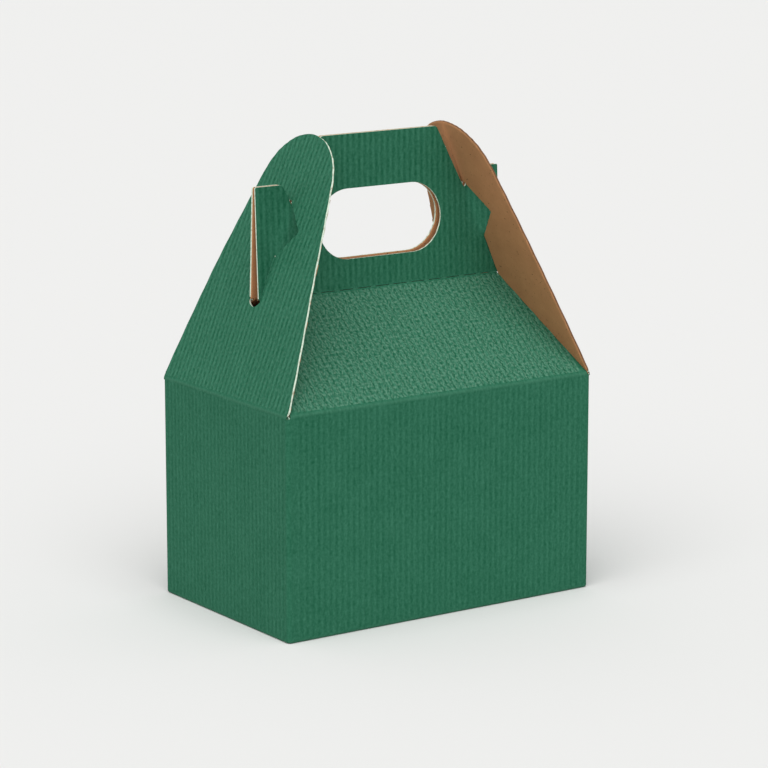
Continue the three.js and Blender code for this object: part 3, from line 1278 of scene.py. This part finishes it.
    def nicks(self) -> list[Vector]:
        """Lists where the die left a nick in the slanting edges of the handle.

        Returns:
            The places, one to each end of each panel.
        """
        sizes, board = self.sizes, self.board
        height = sizes.handle_top - self.nick_drop
        root = sizes.crease_height + self.tab_height - self.hook_depth
        root_half = sizes.flap_inner(root, board) - self.hook_root_gap
        top_half = sizes.flap_inner(sizes.handle_top, board) - self.handle_side_gap
        share = self.nick_drop / (sizes.handle_top - root)
        x = top_half + (root_half - top_half) * share
        y = sizes.panel_middle(height, board) + board.thickness / 2
        return [Vector((i * x, j * y, height)) for i in (-1, 1) for j in (-1, 1)]

    def build(self, finishes: Finishes) -> bpy.types.Object:
        """Makes the whole carton.

        Args:
            finishes: The board's materials.

        Returns:
            The piece, which stands for the frame's carton.
        """
        halves = [half for face in Face for half in self.long_side(face)]
        halves += [half for side in Side for half in self.end_wall(side)]
        piece = finishes.make_board("carton_board", halves)
        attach(piece, "carton_body")
        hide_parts("carton")
        return piece


@dataclass(frozen=True)
class EndFlap:
    """An end flap, slotted over the handle's tabs, and the fold that it turns about.

    Distances along the flap count from its fold.

    Attributes:
        foot_inset: How far the flap's foot stands in from the box's sides.
        shoulder_inset: How far its sides come in above the strip, in strip heights.
        shoulder_rise: Where they do so, in strip heights.
        top_start: Angle at which the rounding of the top starts.
        top_corners: Corners that the rounding is made of.
        side_bow_half: Half of the width where the sides bend.
        side_bow_along: How far along the flap they bend.
        slot_foot_half: Half of the width of the slot's rounded foot.
        curl_start: Where the left flap's upper part starts to curl in.
        curl_rows: Rows of faces in half the curl.
        blend_share: Where the fold's turn ends, as a share of the strip below it.
    """

    side: Side
    sizes: BoxSizes
    board: Board
    length: float = 151.0 * MM
    foot_inset: float = 0.3 * MM
    shoulder_inset: float = 0.2
    shoulder_rise: float = 2.0
    top_radius: float = 34.5 * MM
    top_start: float = math.radians(16)
    top_corners: int = 3
    side_bow_half: float = 51.5 * MM
    side_bow_along: float = 62.2 * MM
    side_bow_round: float = 58 * MM
    round_steps: int = 12
    slot_clearance: float = 0.4 * MM
    slot_head: float = 113 * MM
    slot_foot_rise: float = 1.0 * MM
    slot_foot_depth: float = 3 * MM
    slot_foot_half: float = 3.46 * MM
    slot_foot_round: float = 3.4 * MM
    notch_reach: float = 19 * MM
    notch_tip: float = 96.9 * MM
    notch_above: float = 15 * MM
    notch_below: float = 17 * MM
    notch_round: float = 0.9 * MM
    # Strength of the flap's ribs: their depth, their painted light and shade, and a little painted
    # sheen.
    rib_strength: float = 0.77
    left_curl: float = math.radians(1.9)
    curl_start: float = 70 * MM
    curl_radius: float = 600 * MM
    curl_rows: int = 4
    slot_nick: float = 68 * MM
    nick_width: float = 1.2 * MM
    blend_share: float = 0.9

    @property
    def curl(self) -> float:
        """The angle that the flap's upper part curls in by. Only the left flap does."""
        return self.left_curl if self.side is Side.LEFT else 0.0

    def lean_point(self, along: float) -> tuple[float, float]:
        """Finds the middle of the board up the flap, in its section.

        Args:
            along: Distance from the flap's fold.

        Returns:
            The distance outwards, and the height.
        """
        lean, half = self.sizes.flap_lean, self.board.thickness / 2
        return (
            self.sizes.half_length - along * math.sin(lean) - half * math.cos(lean),
            self.sizes.wall_height + along * math.cos(lean) - half * math.sin(lean),
        )

    def slot_half(self, along: float) -> float:
        """Works out half of the slot's width, which clears both panels.

        Args:
            along: Distance from the flap's fold.

        Returns:
            Half of the width.
        """
        height = self.sizes.wall_height + along * math.cos(self.sizes.flap_lean)
        middle = self.sizes.panel_middle(height, self.board)
        return middle + self.board.thickness / 2 + self.slot_clearance

    def round_top(self) -> list[Corner]:
        """Lists the corners round the flap's top.

        Returns:
            The corners, all of them rounded to the same radius.
        """
        share = (math.pi / 2 - self.top_start) / (2 * self.top_corners)
        reach = self.top_radius * math.tan(share)
        corners = []
        for i in range(self.top_corners):
            angle = self.top_start + (2 * i + 1) * share
            away = self.top_radius / math.cos(share)
            corners.append(Corner(
                away * math.cos(angle),
                self.length - self.top_radius + away * math.sin(angle),
                reach - TINY,
                self.round_steps // 2,
            ))
        return corners

    def outline(self) -> list[Corner]:
        """Lists the corners of half the flap, with its half of the slot.

        Returns:
            The corners.
        """
        sizes = self.sizes
        foot = sizes.strip_above
        foot_half = sizes.half_depth - self.foot_inset
        strip_half = sizes.half_depth - sizes.strip_inset
        slot_foot = sizes.crease_rise / math.cos(sizes.flap_lean) - self.slot_foot_rise
        notch_head = self.notch_tip + self.notch_above
        notch_foot = self.notch_tip - self.notch_below
        return [
            Corner(0, foot),
            Corner(strip_half, foot),
            Corner(foot_half - foot * self.shoulder_inset, foot * self.shoulder_rise),
            Corner(self.side_bow_half, self.side_bow_along, self.side_bow_round, self.round_steps),
            *self.round_top(),
            Corner(0, self.length),
            Corner(0, self.slot_head),
            Corner(self.slot_half(self.slot_head), self.slot_head),
            Corner(self.slot_half(notch_head), notch_head),
            Corner(self.notch_reach, self.notch_tip, self.notch_round),
            Corner(self.slot_half(notch_foot), notch_foot),
            Corner(self.slot_half(slot_foot), slot_foot),
            Corner(self.slot_foot_half, slot_foot - self.slot_foot_depth, self.slot_foot_round),
            Corner(0, slot_foot - self.slot_foot_depth),
        ]

    def nicks(self) -> list[Vector]:
        """Lists where the die left a nick in the edges of the slot.

        Returns:
            The places on the flap's middle, in the frame.
        """
        notch_head = self.notch_tip + self.notch_above
        notch_foot = self.notch_tip - self.notch_below
        places = [
            (self.slot_half(notch_head), notch_head),
            (self.slot_half(notch_foot) + self.nick_width, notch_foot + self.nick_width),
            (-self.slot_half(self.slot_nick), self.slot_nick),
        ]
        folding = self.folding()
        return [folding.place(u, v, self.board.thickness / 2) for u, v in places]

    def plan(self) -> BentLine:
        """Lays out the straight line that the flap follows, seen from above."""
        reach = self.sizes.half_depth
        return BentLine([(0, -reach), (0, reach)], [], -reach)

    def folding(self) -> Folding:
        """Works out where the points of the flat flap go.

        Returns:
            The flap's folding.
        """
        start = self.sizes.strip_above
        knee, tip = (Vector(self.lean_point(v)) for v in (self.curl_start, self.length))
        tip = knee + Matrix.Rotation(self.curl, 2) @ (tip - knee)
        section = BentLine([self.lean_point(start), knee, tip], [self.curl_radius], start)
        return Folding(self.plan(), section, self.side.value)

    def build(self, finishes: Finishes) -> bpy.types.Object:
        """Makes the flap.

        Args:
            finishes: The board's materials.

        Returns:
            The piece, which stands for the frame's flap.
        """
        fold = Bend(0, self.board.fade_start, Vector((0, 0)), 0, 0, 0)
        folding = self.folding()
        curl = folding.section.bends[0]
        breaks = [
            curl.place + curl.reach * i / self.curl_rows
            for i in range(-self.curl_rows, self.curl_rows + 1)
        ]
        ribs = RibField(
            self.board, [fold], [(self.length, self.rib_strength)], self.sizes.half_depth, breaks,
        )
        halves = [
            FoldedSheet(self.outline(), self.board, hand).shape(ribs, folding)
            for hand in (1, -1)
        ]
        name = f"{self.side.word}_end_flap"
        # The right flap's cut edge is brown, darkened with painted shade.
        rim = Surface.BROWN_PAINTED_SHADE_EDGE if self.side is Side.RIGHT else Surface.EDGE
        piece = finishes.make_board(name + "_board", halves, rim)
        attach(piece, f"{self.side.word}_flap")
        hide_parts(name)
        return piece

    def build_fold(self, finishes: Finishes) -> bpy.types.Object:
        """Makes the strip of board along the flap's fold, bent to the flap's lean.

        Args:
            finishes: The board's materials.

        Returns:
            The strip.
        """
        sizes, board = self.sizes, self.board
        half = board.thickness / 2
        drop = half * math.tan(sizes.flap_lean / 2)
        wall = sizes.half_length - half
        section = BentLine(
            [
                (wall, sizes.wall_height - sizes.strip_below),
                (wall, sizes.wall_height - drop),
                self.lean_point(sizes.strip_above),
            ],
            [board.fold_radius], drop - sizes.strip_below,
        )
        low, high = section.places[0], section.places[-1]
        ribs = RibField(board, section.bends, [(high, 0.0)], sizes.half_depth)
        folding = Folding(self.plan(), section, self.side.value)
        half_width = sizes.half_depth - sizes.strip_inset
        outline = [Corner(0, low), Corner(half_width, low), Corner(half_width, high), Corner(0, high)]
        halves = [FoldedSheet(outline, board, hand).shape(ribs, folding) for hand in (1, -1)]
        piece = finishes.make_board(f"{self.side.word}_fold_strip", halves)
        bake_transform(piece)
        return piece


@dataclass(frozen=True)
class TornFibres:
    """Slivers of bare pale fibre that the die leaves at the ends of its cuts.

    Attributes:
        length: Length of a sliver.
        girth: Its width, as a share of its length.
        tuft_count: Slivers in a tuft.
        tuft_spread: How far they lie from the tuft's middle.
        smallest: Size of the smallest sliver, as a share of the usual one.
        largest: The same of the largest.
        seed: Starts the list of random turns.
    """

    finishes: Finishes
    length: float = 0.75 * MM
    girth: float = 0.4
    tuft_count: int = 8
    tuft_spread: float = 0.7 * MM
    smallest: float = 0.7
    largest: float = 1.3
    seed: int = 5

    def sliver(self, bm: bmesh.types.BMesh, place: Vector, chance: random.Random) -> None:
        """Adds one sliver to a mesh.

        Args:
            bm: The mesh.
            place: Where it sticks to the board.
            chance: The source of its turn and length.
        """
        made = bmesh.ops.create_icosphere(bm, subdivisions=1, radius=self.length / 2)
        verts = made["verts"]
        scale = Vector((self.girth, self.girth, 1)) * chance.uniform(self.smallest, self.largest)
        bmesh.ops.scale(bm, vec=scale, verts=verts)
        tilt = Matrix.Rotation(chance.uniform(0, math.pi), 3, "X")
        turn = Matrix.Rotation(chance.uniform(0, math.tau), 3, "Z")
        bmesh.ops.rotate(bm, verts=verts, cent=(0, 0, 0), matrix=turn @ tilt)
        bmesh.ops.translate(bm, verts=verts, vec=place)

    def build(self, name: str, body: str, tufts: Sequence[Vector],
              nicks: Sequence[Vector]) -> bpy.types.Object:
        """Makes the slivers that go with one body.

        Args:
            name: The piece's name.
            body: The body that it rides on.
            tufts: Middles of the frayed tufts.
            nicks: Places of single slivers.

        Returns:
            The piece.
        """
        chance = random.Random(self.seed)
        bm = bmesh.new()
        for middle in tufts:
            for _ in range(self.tuft_count):
                away = [chance.uniform(-self.tuft_spread, self.tuft_spread) for _ in range(3)]
                self.sliver(bm, middle + Vector(away), chance)
        for place in nicks:
            self.sliver(bm, place, chance)
        piece = put_in_scene(name, to_mesh(bm, name))
        piece.data.materials.append(self.finishes.materials[Surface.EDGE])
        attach(piece, body)
        return piece


@dataclass(frozen=True)
class Studio:
    """A pale floor, soft light and the camera.

    Attributes:
        sun_way: The way to the lamp.
        target_height: Height of the point that the camera faces before it is moved.
        slide_right: How far the camera is moved sideways, which sets the framing.
        slide_up: The same upwards.
    """

    floor_half: float = 8.0
    floor_colour: Colour = (0.80, 0.80, 0.79)
    floor_roughness: float = 0.9
    floor_gloss: float = 0.1
    sky: Colour = (1.0, 1.0, 1.0)
    sky_strength: float = 0.50
    sun_way: Vector = Vector((-0.33, -0.40, 0.86))
    sun_strength: float = 2.2
    sun_angle: float = math.radians(70)
    azimuth: float = math.radians(-34.6)
    elevation: float = math.radians(11.99)
    distance: float = 1.811
    target_height: float = 0.110
    slide_right: float = 3.66 * MM
    slide_up: float = 9.1 * MM
    lens: float = 151.2

    def build_floor(self) -> None:
        """Lays the pale floor just below the box."""
        bm = bmesh.new()
        bmesh.ops.create_grid(bm, x_segments=1, y_segments=1, size=self.floor_half)
        shader = Shader("pale_floor")
        shader.set("Base Color", (*self.floor_colour, 1.0))
        shader.set_gloss(self.floor_roughness, self.floor_gloss)
        floor = put_in_scene("floor", to_mesh(bm, "floor"))
        floor.data.materials.append(shader.material)

    def build_light(self) -> None:
        """Adds the sky and one soft lamp, high up on the camera's side."""
        world = bpy.data.worlds.new("studio")
        world.use_nodes = True
        background = world.node_tree.nodes["Background"]
        background.inputs["Color"].default_value = (*self.sky, 1.0)
        background.inputs["Strength"].default_value = self.sky_strength
        bpy.context.scene.world = world
        lamp = bpy.data.lights.new("key", "SUN")
        lamp.energy = self.sun_strength
        lamp.angle = self.sun_angle
        key = put_in_scene("key", lamp)
        key.rotation_euler = self.sun_way.to_track_quat("Z", "Y").to_euler()

    def build_camera(self) -> None:
        """Sets the camera up in front of the box, to the left and a little above it."""
        level = math.cos(self.elevation)
        back = Vector((
            math.sin(self.azimuth) * level, -math.cos(self.azimuth) * level,
            math.sin(self.elevation),
        ))
        turn = back.to_track_quat("Z", "Y")
        camera = bpy.data.cameras.new("camera")
        camera.lens = self.lens
        view = put_in_scene("camera", camera)
        view.rotation_euler = turn.to_euler()
        slide = turn @ Vector((self.slide_right, self.slide_up, self.distance))
        view.location = Vector((0, 0, self.target_height)) + slide
        bpy.context.scene.camera = view

    def build(self) -> None:
        """Sets up the floor, the light, the camera and the plain view of colours."""
        self.build_floor()
        self.build_light()
        self.build_camera()
        bpy.context.scene.view_settings.view_transform = "Standard"


def report(piece: bpy.types.Object) -> None:
    """Logs a piece and its faces."""
    log.info("%s: %d faces", piece.name, len(piece.data.polygons))


def main() -> None:
    """Builds the box's pieces and the studio around the frame."""
    logging.basicConfig(level=logging.INFO)
    Studio().build()
    board = Board()
    sizes = BoxSizes.from_frame()
    finishes = Finishes(board)
    finishes.prepare()
    carton = Carton(sizes, board)
    fibres = TornFibres(finishes)
    report(carton.build(finishes))
    report(fibres.build("carton_fibres", "carton_body", carton.tufts(), carton.nicks()))
    for side in Side:
        flap = EndFlap(side, sizes, board)
        report(flap.build(finishes))
        report(flap.build_fold(finishes))
        report(fibres.build(f"{side.word}_flap_fibres", f"{side.word}_flap", [], flap.nicks()))


if __name__ == "__main__":
    main()
